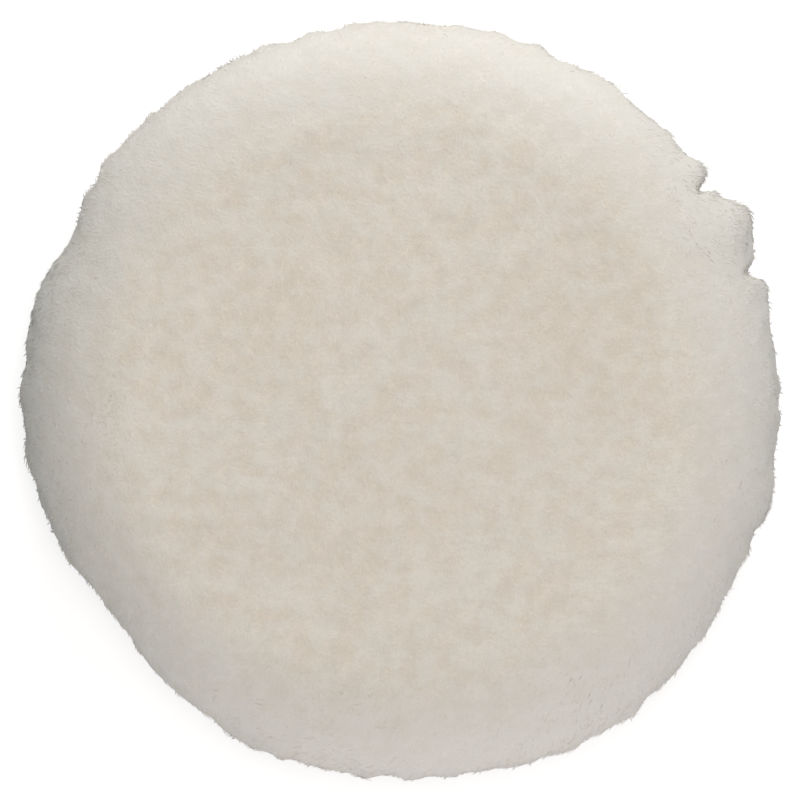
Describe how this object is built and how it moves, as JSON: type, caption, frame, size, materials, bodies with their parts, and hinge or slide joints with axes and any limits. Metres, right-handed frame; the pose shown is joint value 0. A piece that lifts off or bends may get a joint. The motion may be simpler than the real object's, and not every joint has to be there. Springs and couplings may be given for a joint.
{
  "type": "polishing pad",
  "caption": "round lambswool polishing pad with a plush face, turned-under rim, foam core and hook-and-loop backing",
  "frame": {"origin": "middle of the loop face, the flat face that grips the backing plate and on which the pad lies", "axes": "+Z out through the wool working face, along the machine's spindle; -Z is the outward normal of the loop face; +X and +Y lie in the loop face and are interchangeable, because the pad is round"},
  "size_m": [0.18, 0.18, 0.0347],
  "materials": {
    "wool": "dense soft natural fleece, cream white, matt with a faint sheen",
    "lambskin": "pale tanned flesh side, suede-like",
    "foam": "open-cell polyurethane foam, pale yellow, matt",
    "stiffener": "stiff sheet, matt white",
    "felt": "needled grey felt",
    "loop_nap": "brushed loop pile, off-white",
    "loop_cloth": "warp-knit ground cloth, off-white",
    "binding_tape": "herringbone cotton tape, natural white",
    "thread": "twisted bonded thread, white",
    "ring_plastic": "moulded plastic, satin white",
    "washer_steel": "plain zinc-plated steel"
  },
  "bodies": {
    "root": {"loop_nap": "loop_nap", "loop_cloth": "loop_cloth", "binding_tape": "binding_tape", "outer_stitches": "thread", "inner_stitches": "thread", "centring_ring": "ring_plastic", "ring_washer": "washer_steel", "felt_filler": "felt", "stiffener_disc": "stiffener", "foam_cushion": "foam", "lambskin_hide": "lambskin", "gathering_thread": "thread", "face_wool": "wool", "rim_wool": "wool", "turned_wool": "wool"}
  },
  "joints": []
}
